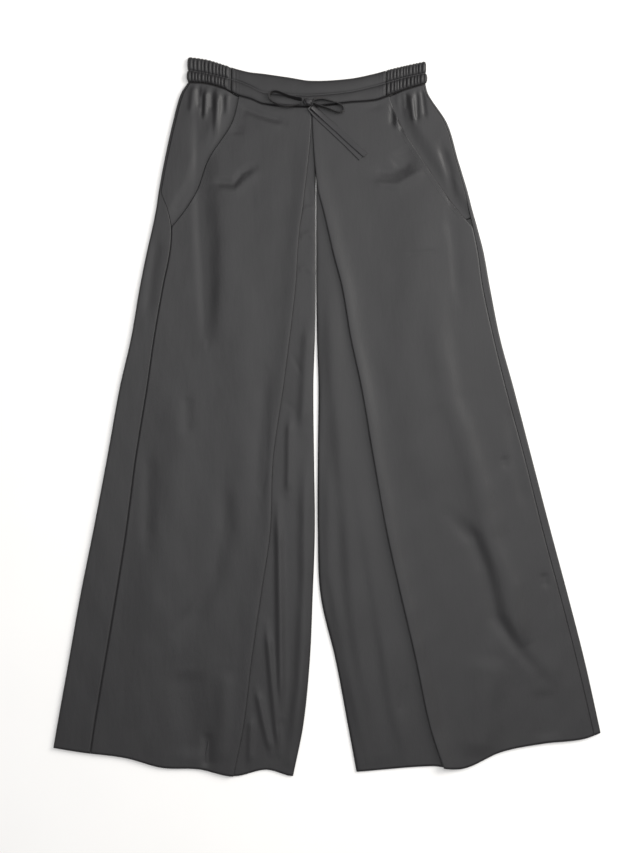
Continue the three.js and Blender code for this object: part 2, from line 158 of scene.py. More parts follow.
upper_tail = [
    (-20.8, 432.4, 9.8), (-16.8, 429, 8.6), (-12.2, 425, 7.8), (-7.6, 420.8, 7.4), (-3, 416.6, 7.3),
    (2, 412, 7.3), (7, 407.4, 7.3), (12, 402.8, 7.3), (17, 398.2, 7.3), (22, 393.4, 7.3),
    (27, 388.8, 7.3), (32, 384.2, 7.3), (37, 379.6, 7.3), (42.4, 375, 7.3), (48, 370, 7.3),
    (53.4, 365.4, 7.3)]


def twill(name, dark, light, roughness, line_pitch, line_depth, rumple):
    """Black sateen-faced twill: long floats catch the light in a soft, low sheen, over fine
    diagonal lines. The lines are drawn coarser than the real 0.5 mm so that they show."""
    material, tree = new_material(name)
    place = add_node(tree, "ShaderNodeTexCoord").outputs["Object"]
    slant = add_node(tree, "ShaderNodeMapping", {"Vector": place, "Rotation": (0, 0, math.radians(62))})
    wave_scale = 2 * math.pi / (20 * line_pitch * MM)
    lines = add_node(tree, "ShaderNodeTexWave", {
        "Vector": slant.outputs[0], "Scale": wave_scale, "Distortion": 0.6, "Detail": 1.0,
        "Detail Scale": 0.4})
    stretched = add_node(tree, "ShaderNodeMapping", {"Vector": place, "Scale": (1.0, 0.28, 1.0)})
    rumples = add_node(tree, "ShaderNodeTexNoise", {
        "Vector": stretched.outputs[0], "Scale": 75.0, "Detail": 4.0, "Roughness": 0.55})
    patches = add_node(tree, "ShaderNodeTexNoise", {"Vector": place, "Scale": 14.0, "Detail": 3.0})
    tone = add_node(tree, "ShaderNodeMixRGB", {
        "Fac": patches.outputs["Fac"], "Color1": linear(dark), "Color2": linear(light)})
    shine = add_node(tree, "ShaderNodeMapRange", {
        "Value": patches.outputs["Fac"], "To Min": roughness - 0.05, "To Max": roughness + 0.05})
    soft = add_node(tree, "ShaderNodeBump", {
        "Height": rumples.outputs["Fac"], "Strength": 1.0, "Distance": rumple * MM})
    weave = add_node(tree, "ShaderNodeBump", {
        "Height": lines.outputs["Fac"], "Strength": 1.0, "Distance": line_depth * MM,
        "Normal": soft.outputs[0]})
    cloth = add_node(tree, "ShaderNodeBsdfPrincipled", {
        "Base Color": tone.outputs[0], "Roughness": shine.outputs[0], "Normal": weave.outputs[0],
        "IOR": 1.46, "Specular IOR Level": 0.5, "Sheen Weight": 0.12, "Sheen Roughness": 0.45,
        "Sheen Tint": linear("b9b4ae")})
    add_node(tree, "ShaderNodeOutputMaterial", {"Surface": cloth.outputs[0]})
    return material


tape_cloth = twill("black twill tape", "171618", "1c1b1d", 0.5, 1.1, 0.03, 0.2)


def smooth_route(points, steps_each):
    """A smooth line through a route's points, as an array."""
    p = np.array([points[0], *points, points[-1]], float)
    share = np.linspace(0, 1, steps_each, endpoint=False)[:, None]
    parts = []
    for a, b, c, d in zip(p, p[1:], p[2:], p[3:]):
        parts.append(0.5 * (2 * b + (c - a) * share + (2 * a - 5 * b + 4 * c - d) * share ** 2
                            + (3 * b - 3 * c + d - a) * share ** 3))
    return np.vstack([*parts, p[-1:]])


def mesh_piece(name, points, faces, material, smooth=True):
    """A named object from points in millimetres, at the origin."""
    mesh = bpy.data.meshes.new(name)
    mesh.from_pydata((np.asarray(points) * MM).tolist(), [], faces)
    mesh.polygons.foreach_set("use_smooth", [smooth] * len(mesh.polygons))
    mesh.materials.append(material)
    piece = bpy.data.objects.new(name, mesh)
    bpy.context.scene.collection.objects.link(piece)
    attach(piece, "root")
    return piece


def tape(name, route, roll_degrees, material):
    """A flat tape along a route, rolled about its own line: 0 lies flat and 90 stands on edge."""
    path = smooth_route(route, 4)
    ahead = np.gradient(path, axis=0)
    ahead /= np.linalg.norm(ahead, axis=1)[:, None]
    sideways = np.cross(ahead, (0, 0, 1))
    sideways /= np.linalg.norm(sideways, axis=1)[:, None]
    upwards = np.cross(sideways, ahead)
    roll = np.radians(np.interp(np.linspace(0, 1, len(path)), np.linspace(0, 1, len(roll_degrees)),
                                roll_degrees))[:, None]
    wide = np.cos(roll) * sideways + np.sin(roll) * upwards
    thick = np.cos(roll) * upwards - np.sin(roll) * sideways
    round_edge = np.linspace(-90, 90, tape_corner_points)
    section = [(tape_width / 2 - tape_thickness / 2 + tape_thickness / 2 * math.cos(math.radians(a)),
                tape_thickness / 2 * math.sin(math.radians(a))) for a in round_edge]
    section += [(tape_width / 5, 0.46 * tape_thickness), (-tape_width / 5, 0.46 * tape_thickness)]
    section += [(-w, -t) for w, t in section[:tape_corner_points]]
    section += [(-tape_width / 5, -0.46 * tape_thickness), (tape_width / 5, -0.46 * tape_thickness)]
    rings = [path + w * wide + t * thick for w, t in section]
    points = np.stack(rings, axis=1).reshape(-1, 3)
    around, count = len(section), len(path)
    faces = [[i * around + j, i * around + (j + 1) % around, (i + 1) * around + (j + 1) % around,
              (i + 1) * around + j] for i in range(count - 1) for j in range(around)]
    faces += [list(range(around))[::-1], [(count - 1) * around + j for j in range(around)]]
    piece = mesh_piece(name, points, faces, material)
    piece.data.set_sharp_from_angle(angle=math.radians(50))
    length = float(np.linalg.norm(np.diff(path, axis=0), axis=1).sum())
    return piece, path, length


def knot():
    """The bow's knot: the tape wound once over itself, with a groove on each side of the turn."""
    low, high = (np.array(corner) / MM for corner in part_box("drawcord_knot"))
    middle, half = (low + high) / 2, (high - low) / 2
    rings, around = 26, 44
    points, faces = [(0, 0, 1)], []
    for i in range(1, rings):
        tilt = math.pi * i / rings
        for j in range(around):
            turn = 2 * math.pi * j / around
            points.append((math.sin(tilt) * math.cos(turn), math.sin(tilt) * math.sin(turn), math.cos(tilt)))
    points.append((0, 0, -1))
    points = np.array(points)
    across = points[:, 0] * 0.85 + points[:, 1] * 0.35
    grooves = np.exp(-((np.abs(across) - 0.5) / 0.09) ** 2)
    wrap = np.exp(-(across / 0.42) ** 4)
    size = 0.9 + 0.1 * wrap - 0.16 * grooves + 0.03 * np.sin(9 * points[:, 1] + 5 * across)
    points = middle + points * size[:, None] * half
    last = len(points) - 1
    at = lambda i, j: 1 + (i - 1) * around + j % around
    for j in range(around):
        faces.append([0, at(1, j), at(1, j + 1)])
        faces.append([last, at(rings - 1, j + 1), at(rings - 1, j)])
        faces += [[at(i, j), at(i + 1, j), at(i + 1, j + 1), at(i, j + 1)] for i in range(1, rings - 1)]
    piece = mesh_piece("bow_knot", points, faces, tape_cloth)
    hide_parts("drawcord_knot")
    return piece


bow_knot = knot()
for name, node, route, roll, far_end in (
        ("bow_loop_left", "drawcord_loop_left", left_loop, (60, 72, 78, 86, 92, 86, 80), "object"),
        ("bow_loop_right", "drawcord_loop_right", right_loop, (60, 66, 76, 90, 96, 84, 80), "object"),
        ("drawcord_end_lower", "drawcord_tail_lower", lower_tail, (18, 4, 0, 3, 0), "bare"),
        ("drawcord_end_upper", "drawcord_tail_upper", upper_tail, (24, 8, -3, -5, -2), "bare")):
    cord, path, length = tape(name, route, roll, tape_cloth)
    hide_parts(node)

# --- Back panels ---------------------------------------------------------------------------------
# Two panels of the black twill that lie flat underneath, from the middle to the outer edge. There
# they come round onto the front, where the side seam joins each one to the front's top layer.
cloth = 0.8
layer = 1.3
back_height = 0.5
underlay_height = back_height + layer
front_height = underlay_height + 2 * layer
seam_gap = 0.3
waist_gap = 0.6
turn_room = 3.2
leg_rows = 300

# Where the long lines of the garment cross each height: outer edges, side seams, the pleat's folded
# edges, and the edges at the middle.
section_names = "y outer_left seam_left fold_left mid_left mid_right fold_right seam_right outer_right"
sections = [
    (468, -194, -191, -22, -16, -15, -21, 134, 137),
    (450, -205, -202, -22, -16, -15, -21, 139, 142),
    (410, -216, -213, -22, -16, -15, -21, 165, 168),
    (360, -227, -224, -26, -16, -15, -18, 180, 183),
    (317, -235, -232, -31, -16, -15, -13, 192, 196),
    (290, -239, -223, -34, -16, -15, -6, 198, 203),
    (265, -244, -218, -38, -16, -15, 0, 204, 210),
    (230, -252, -220, -41, -16, -15, 8, 211, 219),
    (180, -262, -230, -44, -16, -15, 21, 218, 228),
    (110, -274, -242, -52, -17, -14, 33, 233, 242),
    (40, -290, -252, -61, -19, -12, 48, 250, 261),
    (-60, -308, -268, -75, -18, -13, 65, 277, 287),
    (-160, -327, -281, -79, -17, -13, 83, 302, 313),
    (-250, -345, -295, -92, -20, -9, 103, 326, 337),
    (-340, -361, -310, -105, -24, 12, 124, 349, 360),
    (-430, -377, -325, -116, -33, 29, 143, 370, 380),
    (-500, -389, -335, -130, -47, 42, 166, 385, 395)]
mouth_names = "y left right"
pocket_mouth = [
    (468, -120, 80), (450, -123, 86), (410, -134, 102), (360, -166, 133), (317, -182, 162),
    (290, -198, 182), (265, -218, 204)]
pocket_foot = 265
waist_names = "x top stitching foot"
waist_lines = [
    (-194, 502, 484, 468), (-167, 498, 479, 466), (-141, 490, 473, 458), (-125, 485, 469, 450),
    (-108, 481, 462, 445), (-90, 479, 453, 438), (-55, 474, 450, 435), (-21, 469, 449, 434),
    (32, 472, 454, 440), (67, 479, 462, 443), (85, 484, 467, 449), (110, 490, 474, 458),
    (138, 496, 480, 466)]
hem_names = "x y"
hem = [
    (-388, -461), (-346, -468), (-283, -476), (-230, -490), (-180, -492), (-130, -502), (-85, -493),
    (-47, -502), (41, -496), (144, -488), (190, -491), (243, -468), (304, -456), (357, -450),
    (390, -438)]


def column(names, rows, key, value):
    """A smooth function through one column of a table, by another column."""
    names = names.split()
    table = np.array(sorted(rows, key=lambda row: row[names.index(key)]), float)
    x, y = table[:, names.index(key)], table[:, names.index(value)]
    slope = np.empty_like(y)
    slope[1:-1] = (y[2:] - y[:-2]) / (x[2:] - x[:-2])
    slope[0], slope[-1] = (y[1] - y[0]) / (x[1] - x[0]), (y[-1] - y[-2]) / (x[-1] - x[-2])

    def at(place):
        place = np.asarray(place, float)
        held = np.clip(place, x[0], x[-1])
        i = np.clip(np.searchsorted(x, held) - 1, 0, len(x) - 2)
        span = x[i + 1] - x[i]
        t = (held - x[i]) / span
        curve = (y[i] * (1 + 2 * t) * (1 - t) ** 2 + y[i + 1] * (3 - 2 * t) * t ** 2
                 + slope[i] * span * t * (1 - t) ** 2 - slope[i + 1] * span * (1 - t) * t ** 2)
        return curve + np.where(place < x[0], slope[0], slope[-1]) * (place - held)
    return at


edge = {name: column(section_names, sections, "y", name) for name in section_names.split()[1:]}
mouth = {name: column(mouth_names, pocket_mouth, "y", name) for name in ("left", "right")}
waist = {name: column(waist_names, waist_lines, "x", name) for name in ("top", "stitching", "foot")}
hem_at = column(hem_names, hem, "x", "y")
sides = {"left": -1, "right": 1}


def row_y(x, row):
    """Height Y of a row of the legs at x: 0 is the waist seam and 1 the hem."""
    return (waist["foot"](x) - waist_gap) * (1 - row) + hem_at(x) * row


def crossing(row, line, start):
    """X at which rows cross one of the long lines."""
    x = np.full_like(row, start)
    for _ in range(14):
        x = line(row_y(x, row))
    return x


def side_seam(y, side):
    """Side seam, never nearer the outer edge than the cloth needs to turn round it."""
    sign = sides[side]
    return sign * np.minimum(sign * edge[f"seam_{side}"](y), sign * edge[f"outer_{side}"](y) - turn_room)


def front_edge(y, side):
    """Outer edge of the front's top layer: the pocket mouth, then the side seam."""
    return np.where(y < pocket_foot, side_seam(y, side), mouth[side](y))


def from_line(x, y, line):
    """Distance to a line of points, with its sign on the right of the way down, and how far along."""
    best = np.full(x.shape, 1e9)
    sign = np.ones(x.shape)
    share = np.zeros(x.shape)
    lengths = [math.dist(a, b) for a, b in zip(line, line[1:])]
    run = 0
    for (ax, ay), (bx, by), length in zip(line, line[1:], lengths):
        ux, uy = (bx - ax) / length, (by - ay) / length
        t = np.clip((x - ax) * ux + (y - ay) * uy, 0, length)
        dx, dy = x - ax - t * ux, y - ay - t * uy
        far = np.hypot(dx, dy)
        near = far < best
        best = np.where(near, far, best)
        sign = np.where(near, np.where(ux * dy - uy * dx > 0, 1, -1), sign)
        share = np.where(near, (run + t) / sum(lengths), share)
        run += length
    return best, sign, share


def relief(x, y, folds):
    """Sum of soft folds. Each is a line from the waist down, with its height and its width on the
    left and on the right; one that runs across is drawn from the left, with `right` above it."""
    total = np.zeros(x.shape)
    for _name, line, left, right, height in folds:
        reach = 2.6 * max(left, right)
        xs, ys = [p[0] for p in line], [p[1] for p in line]
        near = ((x > min(xs) - reach) & (x < max(xs) + reach)
                & (y > min(ys) - reach) & (y < max(ys) + reach))
        if not near.any():
            continue
        far, sign, share = from_line(x[near], y[near], line)
        width = np.where(sign > 0, right, left)
        ends = np.clip(np.minimum(share, 1 - share) / 0.18, 0, 1)
        ends = 0.25 + 0.75 * ends * ends * (3 - 2 * ends)
        total[near] += height * ends * np.exp(-(far / width) ** 2)
    return total


def rumples(x, y, size, stretch, seed):
    """Slow uneven swelling of cloth that has been worn and smoothed by hand, from -1 to 1."""
    rng = np.random.default_rng(seed)
    total = np.zeros(np.shape(x))
    for _ in range(9):
        turn = rng.uniform(0, 2 * math.pi)
        wave = rng.uniform(0.6, 1.7) * 2 * math.pi / size
        total += np.sin(wave * (x * math.cos(turn) + y * math.sin(turn) / stretch) + rng.uniform(0, 6.3))
    return total / 4.5


# Folds of the front's top layer and hip pieces: name, line, width on the left and right, height.
front_folds = [
    ("gather furrow", [(-179, 462), (-179, 432)], 3, 3, -2.2),
    ("gather furrow", [(-174, 450), (-175, 420)], 2.5, 3, -2.2),
    ("gather ridge", [(-169, 456), (-171, 418)], 2.6, 3, 2.6),
    ("gather furrow", [(-161, 456), (-161, 428)], 3, 4, -2.4),
    ("gather ridge", [(-153, 454), (-154, 391), (-164, 367)], 4, 3.4, 3.0),
    ("gather furrow", [(-145, 452), (-145, 422)], 3, 3, -2.4),
    ("gather ridge", [(-138, 452), (-139, 422)], 3, 3, 2.0),
    ("gather ridge", [(-186, 462), (-190, 425)], 4, 4, 1.6),
    ("hip trough", [(-181, 425), (-180, 340), (-178, 262), (-173, 178), (-170, 112)], 6, 17, -3.4),
    ("hip ridge", [(-152, 330), (-146, 250), (-150, 150), (-153, 90)], 12, 22, 1.8),
    ("pocket bag print", [(-160, 328), (-130, 326), (-118, 341), (-100, 350)], 4, 5, -1.7),
    ("bag print lower lip", [(-158, 318), (-130, 315), (-112, 331), (-96, 342)], 7, 4, 0.9),
    ("pull below mouth", [(-186, 326), (-203, 307), (-213, 284)], 6, 6, -1.6),
    ("beside side seam", [(-237, 251), (-246, 190), (-251, 144)], 6, 9, -1.4),
    ("hip patch", [(-127, 412), (-127, 394)], 8, 10, -1.3),
    ("front sag", [(-122, 433), (-91, 421), (-59, 413)], 5, 4, -1.5),
    ("front sag lip", [(-118, 424), (-88, 411), (-60, 404)], 8, 6, 0.8),
    ("front sag", [(20, 429), (50, 430), (78, 436)], 5, 4, -1.3),
    ("front sag", [(26, 417), (48, 405)], 5, 6, 0.9),
    ("gather furrow", [(90, 438), (90, 407)], 2.6, 3.4, -2.2),
    ("gather ridge", [(97, 447), (98, 402)], 3, 3, 2.6),
    ("gather furrow", [(104, 451), (104, 396)], 3, 4, -2.6),
    ("gather furrow", [(110, 453), (111, 428)], 2.4, 2.6, -1.8),
    ("gather ridge", [(117, 450), (121, 412)], 3, 3, 2.4),
    ("gather furrow", [(125, 455), (126, 413)], 2.6, 3, -2.2),
    ("gather furrow", [(132, 458), (137, 418)], 2.4, 3, -1.8),
    ("pocket bag hollow", [(104, 376), (112, 360), (96, 346)], 15, 13, -2.4),
    ("pocket bag hollow", [(66, 344), (92, 342), (118, 356)], 7, 7, -1.6),
    ("bag print lower lip", [(62, 326), (98, 324), (136, 346)], 7, 5, 1.4),
    ("hip trough", [(158, 380), (170, 340), (174, 296)], 5, 7, -3.2),
    ("hip shade", [(171, 284), (178, 230), (183, 169)], 7, 12, -1.6),
    ("hip crease", [(110, 226), (132, 229), (153, 231)], 3, 3, -0.7),
    ("leg ridge", [(150, 170), (158, 122), (171, 24), (189, -21), (213, -98), (227, -171), (255, -237),
                   (269, -325), (311, -356)], 20, 16, 3.6),
    ("leg swell", [(120, 330), (126, 230), (120, 120), (128, 0), (150, -130)], 34, 40, 3.0),
    ("leg trough", [(171, -136), (203, -171), (220, -213), (234, -279), (262, -318), (297, -363)],
     9, 11, -3.0),
    ("leg trough", [(256, 20), (262, -60), (276, -130)], 7, 10, -1.4),
    ("fold blot", [(70, -100), (80, -150)], 7, 6, -1.8),
    ("seam dimple", [(248, -55), (250, -72)], 5, 5, -1.4),
    ("seam dimple", [(303, -218), (306, -238)], 5, 5, -1.4),
    ("fold shade left", [(-84, 60), (-87, 0), (-92, -116)], 12, 5, -1.6),
    ("leg trough", [(-144, -90), (-144, -157), (-158, -220), (-186, -272), (-210, -300)], 9, 15, -2.2),
    ("leg swell", [(-210, 60), (-214, -60), (-230, -180), (-250, -320)], 26, 30, 1.8),
    ("leg swell", [(-120, 240), (-116, 100), (-120, -60), (-128, -200)], 24, 22, 1.4),
    ("hem hollow", [(-196, -350), (-190, -420), (-186, -480)], 20, 20, -2.4),
    ("hem fold", [(-170, -440), (-168, -490)], 5, 8, -2.6),
    ("hem swell", [(-140, -350), (-148, -488)], 12, 12, 1.4),
    ("leg shade", [(-196, 30), (-196, -25)], 7, 9, -1.2),
    ("leg shade", [(-250, -50), (-252, -180)], 7, 10, -1.2),
    ("hem swell", [(230, -330), (212, -480)], 26, 24, 2.2),
    ("hem hollow", [(300, -380), (306, -452)], 14, 18, -1.2)]


def top_z(x, y):
    """Middle of the front's top layer, above the floor."""
    swell = 0.5 * rumples(x, y, 130, 2.4, 3) + 0.22 * rumples(x, y, 42, 2.0, 8)
    calm = np.clip((y - 340) / 60, 0, 1) * np.exp(-((x - 15) / 55) ** 4)
    height = front_height + (relief(x, y, front_folds) + swell) * (1 - calm)
    lowest = underlay_height + 0.1
    over = (height - lowest) / 1.6
    return lowest + 1.6 * np.log1p(np.exp(np.clip(over, -30, 30)))


def turned_edge(edge_x, facing, upper_z, lower_z, count, reach):
    """Points round a folded edge from the upper layer to the lower: x and z, a column for each step."""
    half = (upper_z - lower_z) / 2
    middle = edge_x - facing * (cloth / 2 + reach)
    turn = np.linspace(0, math.pi, count)[None, :]
    x = middle[:, None] + facing * reach * np.sin(turn)
    return x, (lower_z + half)[:, None] + half[:, None] * np.cos(turn)


def across(start, end, count):
    """Even steps between two columns of numbers, a row for each."""
    share = np.linspace(0, 1, count)[None, :]
    return start[:, None] * (1 - share) + end[:, None] * share


def cloth_sheet(name, x, y, z, material, upwards, thickness=cloth):
    """A thin closed wall of cloth through a grid of middle points in millimetres."""
    rows, columns = x.shape
    first = (np.arange(rows - 1)[:, None] * columns + np.arange(columns - 1)[None, :]).ravel()
    quads = np.stack([first, first + columns, first + columns + 1, first + 1], axis=1)
    if not upwards:
        quads = quads[:, ::-1]
    piece = mesh_piece(name, np.stack([x, y, z], axis=-1).reshape(-1, 3), quads.tolist(), material)
    wall = piece.modifiers.new("cloth thickness", "SOLIDIFY")
    wall.thickness = thickness * MM
    wall.offset = 0
    return piece


panel_twill = twill("black sateen twill", "161517", "1c1b1c", 0.47, 1.5, 0.05, 0.35)
row = np.linspace(0, 1, leg_rows) ** 1.06
for side, sign in sides.items():
    clear = sign * seam_gap / 2
    middle = crossing(row, edge[f"mid_{side}"], 0.0) + clear
    outer = crossing(row, edge[f"outer_{side}"], sign * 100.0)
    seam = crossing(row, lambda y, side=side: side_seam(y, side), sign * 100.0) + clear
    upper = top_z(outer - sign * 2.4, row_y(outer, row))
    turn_x, turn_z = turned_edge(outer, sign, upper, np.full_like(upper, back_height), 11, 1.9)
    flat_x = across(middle, turn_x[:, -1], 26)[:, :-1]
    lap_x = across(turn_x[:, 0], seam, 18)[:, 1:]
    x = np.hstack([flat_x, turn_x[:, ::-1], lap_x])
    y = row_y(x, row[:, None])
    z = np.hstack([np.full_like(flat_x, back_height), turn_z[:, ::-1], top_z(lap_x, y[:, -17:])])
    back = cloth_sheet(f"back_panel_{side}", x, y, z, panel_twill, sign < 0)
    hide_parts(f"back_{side}")

# --- Hip pieces ----------------------------------------------------------------------------------
# The pocket facings: a piece of the same twill on each hip, sewn into the waistband and the side
# seam, which shows beyond the slant mouth of the pocket and goes in under the front.
facing_tuck = 15
facing_rise = 24
mouth_row = 0.212
hip_rows = 84
hip_columns = 58
row = np.linspace(0, mouth_row, hip_rows)
for side, sign in sides.items():
    seam = crossing(row, lambda y, side=side: side_seam(y, side), sign * 100.0) - sign * seam_gap
    opening = crossing(row, lambda y, side=side: front_edge(y, side), sign * 100.0)
    x = across(seam, opening - sign * facing_tuck, hip_columns)
    y = row_y(x, row[:, None])
    out = np.clip((sign * (x - opening[:, None]) - 2) / (facing_rise - 2), 0, 1)
    out = out * out * (3 - 2 * out)
    z = (underlay_height + 0.1) * (1 - out) + top_z(x, y) * out
    hip = cloth_sheet(f"hip_piece_{side}", x, y, z, panel_twill, sign < 0)
    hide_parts(f"pocket_facing_{side}")

# --- Front panels --------------------------------------------------------------------------------
# Each front is one piece of twill: flat from the side seam to the pleat's folded edge, back under
# itself, then out again as the pleat's underlay, which runs to the seam in the middle and, below
# the crotch, to the leg's inner edge. The folded edges stand a little off the underlay.
pleat_depth = 45
fold_lift_names = "y left right"
fold_lift = [(468, 0, 0), (410, 0.3, 0.5), (330, 1.2, 2.0), (200, 1.6, 4.0), (0, 1.6, 5.0),
             (-200, 1.4, 5.0), (-400, 1.2, 5.4), (-500, 1.0, 5.6)]
lift_reach = 15
lift_at = {name: column(fold_lift_names, fold_lift, "y", name) for name in ("left", "right")}

# Folds of the pleat's underlays, in the same columns as the front's.
underlay_folds = [
    ("pleat hollow", [(-27, 322), (-22, 294)], 4, 4, -0.6),
    ("pucker", [(-36, 288), (-24, 292), (-17, 290)], 3, 4, 1.0),
    ("pucker", [(-38, 250), (-26, 256), (-17, 252)], 3, 4, 1.0),
    ("pucker", [(-40, 205), (-30, 209), (-18, 203)], 4, 5, 0.8),
    ("crease", [(-48, 86), (-38, 62)], 3, 4, -0.6),
    ("crotch swell", [(-26, 130), (-30, 60), (-34, -20)], 8, 8, 2.2),
    ("crease", [(-60, 19), (-46, 12)], 3, 4, -0.6),
    ("ridge", [(-52, 0), (-54, -110)], 5, 6, 1.8),
    ("swell", [(-30, -60), (-31, -220), (-38, -380), (-52, -480)], 8, 9, 2.4),
    ("ridge strip", [(-68, -120), (-66, -260), (-64, -420)], 5, 6, 3.0),
    ("ridge", [(-84, -290), (-76, -380), (-67, -470)], 4, 5, 2.4),
    ("ridge", [(-98, -380), (-90, -420), (-78, -470)], 4, 5, 2.0),
    ("ridge", [(-106, -420), (-108, -485)], 4, 5, 1.6),
    ("right swell", [(2, 210), (10, 60), (26, -120), (40, -300), (70, -470)], 13, 16, 2.6),
    ("right swell", [(40, -60), (60, -200), (92, -400), (112, -480)], 10, 12, 1.6),
    ("right crease", [(108, -374), (101, -414)], 3, 4, -0.7),
    ("inner edge swell", [(2, -60), (4, -220), (30, -360), (56, -480)], 8, 10, 1.4)]


def underlay_z(x, y):
    """Middle of the pleat's underlay, above the floor."""
    swell = 0.35 * rumples(x, y, 60, 2.6, 5)
    height = underlay_height + 0.6 + relief(x, y, underlay_folds) + swell
    return underlay_height + np.log1p(np.exp(np.clip((height - underlay_height) * 1.5, -30, 30))) / 1.5 - 0.2


row = np.linspace(0, 1, leg_rows) ** 1.04
for side, sign in sides.items():
    clear = sign * seam_gap / 2
    outer = crossing(row, lambda y, side=side: front_edge(y, side), sign * 100.0) - clear
    fold = crossing(row, edge[f"fold_{side}"], sign * 50.0) + clear
    middle = crossing(row, edge[f"mid_{side}"], 0.0) + clear
    crease = fold + sign * pleat_depth
    fold_y = row_y(fold, row)
    lift = lift_at[side](fold_y)

    def lifted(x, y):
        """How far the pleat's two upper layers stand up near the folded edge."""
        return lift[:, None] * np.exp(-((x - fold[:, None]) / lift_reach) ** 2)

    hidden_z = underlay_height + layer
    reach = 0.65
    edge_x = fold + sign * (cloth / 2 + reach)
    top_x = across(outer, edge_x, 76)[:, :-1]
    top_y = row_y(top_x, row[:, None])
    close = np.exp(-((top_x - fold[:, None]) / 26) ** 4)
    raised = np.maximum(top_z(top_x, top_y) * (1 - close) + close * np.maximum(
        top_z(top_x, top_y), front_height), underlay_height) + lifted(top_x, top_y)
    fold_upper = raised[:, -1]
    fold_lower = hidden_z + lift
    turn_x, turn_z = turned_edge(fold, -sign, fold_upper, fold_lower, 7, reach)
    under_x = across(turn_x[:, -1], crease - sign * 1.2, 14)[:, 1:]
    under_lift = lifted(under_x, 0)
    crease_x, crease_z = turned_edge(crease, sign, np.full_like(fold, hidden_z),
                                     np.full_like(fold, underlay_height), 5, reach)
    lowest_x = across(crease_x[:, -1], middle, 46)[:, 1:]
    lowest_y = row_y(lowest_x, row[:, None])
    shown = np.clip((sign * (fold[:, None] - lowest_x) + 9) / 10, 0, 1)
    rolled = np.clip(sign * (lowest_x - middle[:, None]) / 5, 0, 1)
    lowest_z = underlay_height + (underlay_z(lowest_x, lowest_y) - underlay_height) * shown * rolled ** 0.5
    x = np.hstack([top_x, turn_x, under_x, crease_x, lowest_x])
    y = row_y(x, row[:, None])
    z = np.hstack([raised, turn_z, hidden_z + under_lift, crease_z, lowest_z])
    front = cloth_sheet(f"front_panel_{side}", x, y, z, panel_twill, sign < 0)
    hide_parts(f"front_{side}")

# --- Waistband -----------------------------------------------------------------------------------
# Two rows of casing in the same twill. The front is smooth, and the rest is one strip gathered on
# its elastics, round both ends and across the back. A line of stitching divides the two rows.
casing = 2.1
row_puff = 2.2
gather_height = 1.1
gather_pitch = 4.3
elastic_end = {"left": -134, "right": 82}
band_half_rows = 13
band_columns = 150
band_thickness = 1.4
band_twill = twill("gathered black twill", "151416", "1b1a1b", 0.5, 1.5, 0.05, 0.3)


def band_grid(x_flat):
    """Y up the band at each place, foot to top, and how far its two rows swell there, 0 to 1."""
    foot, stitching, top = (waist[name](x_flat)[:, None] for name in ("foot", "stitching", "top"))
    share = np.linspace(0, 1, band_half_rows)[None, :]
    lower = foot + (stitching - foot) * share
    upper = stitching + (top - stitching) * share[:, 1:]
    swell = np.sqrt(np.clip(1 - (2 * share - 1) ** 2, 0, 1))
    rows_of = np.hstack([swell, swell[:, 1:]])
    return np.hstack([lower, upper]), np.repeat(rows_of, len(x_flat), axis=0)


def gathers(run, seed):
    """Uneven gathers along a casing row: 1 on each rounded ridge and -1 in each pinched furrow."""
    rng = np.random.default_rng(seed)
    knots = np.cumsum(rng.uniform(0.7, 1.35, 260)) * gather_pitch
    phase = np.interp(run, knots, np.arange(len(knots)))
    return 2 * np.abs(np.sin(math.pi * phase)) ** 0.8 - 1


front_x = np.linspace(elastic_end["left"] + seam_gap, elastic_end["right"] - seam_gap, band_columns)
y, swell = band_grid(front_x)
x = np.repeat(front_x[:, None], y.shape[1], axis=1)
drag = 0.35 * rumples(x, y * 3, 50, 3, 12) * swell
near_end = np.exp(-((x - elastic_end["left"]) / 9) ** 2) + np.exp(-((x - elastic_end["right"]) / 9) ** 2)
gathered = 0.5 * gather_height * gathers(x[:, 0] + 400, 4)[:, None] * swell * near_end
z = front_height + row_puff * 0.75 * swell + drag + gathered
smooth_band = cloth_sheet("waistband_smooth", x, y, z, band_twill, False, thickness=band_thickness)
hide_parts("waistband_front")

band_left, band_right = waist_lines[0][0], waist_lines[-1][0]
back_middle = casing / 2
half = (front_height - back_middle) / 2
turn = np.linspace(0, math.pi, 14)
left_middle, right_middle = band_left + half + casing / 2, band_right - half - casing / 2
path = np.array([
    *[(v, front_height) for v in np.arange(elastic_end["left"] - seam_gap, left_middle + 1, -0.8)],
    *[(left_middle - half * math.sin(a), back_middle + half + half * math.cos(a)) for a in turn],
    *[(v, back_middle) for v in np.arange(left_middle + 2.5, right_middle - 1, 2.5)],
    *[(right_middle + half * math.sin(a), back_middle + half + half * math.cos(a)) for a in turn[::-1]],
    *[(v, front_height) for v in np.arange(right_middle - 1, elastic_end["right"] + seam_gap, -0.8)]])
step = np.gradient(path, axis=0)
step /= np.linalg.norm(step, axis=1)[:, None]
outwards = np.stack([step[:, 1], -step[:, 0]], axis=1)
run = np.concatenate([[0], np.cumsum(np.linalg.norm(np.diff(path, axis=0), axis=1))])
y, swell = band_grid(np.clip(path[:, 0], band_left, band_right))
on_front = np.clip((path[:, 1] - 2.2) / 1.5, 0, 1)[:, None]
lower_row = (np.arange(y.shape[1]) < band_half_rows)[None, :]
ripple = np.where(lower_row, 1.2 * gathers(run, 21)[:, None], gathers(run, 34)[:, None])
out = swell * on_front * (row_puff + gather_height * ripple * np.clip(swell * 1.4, 0, 1)) - 0.2 * on_front
x = path[:, :1] + outwards[:, :1] * out
z = path[:, 1:] + outwards[:, 1:] * out
y = y + 0.5 * ripple * (swell < 0.3) * on_front
elastic_band = cloth_sheet("waistband_elastic_strip", x, y, z, band_twill, False, thickness=band_thickness)
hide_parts("waistband_elastic")

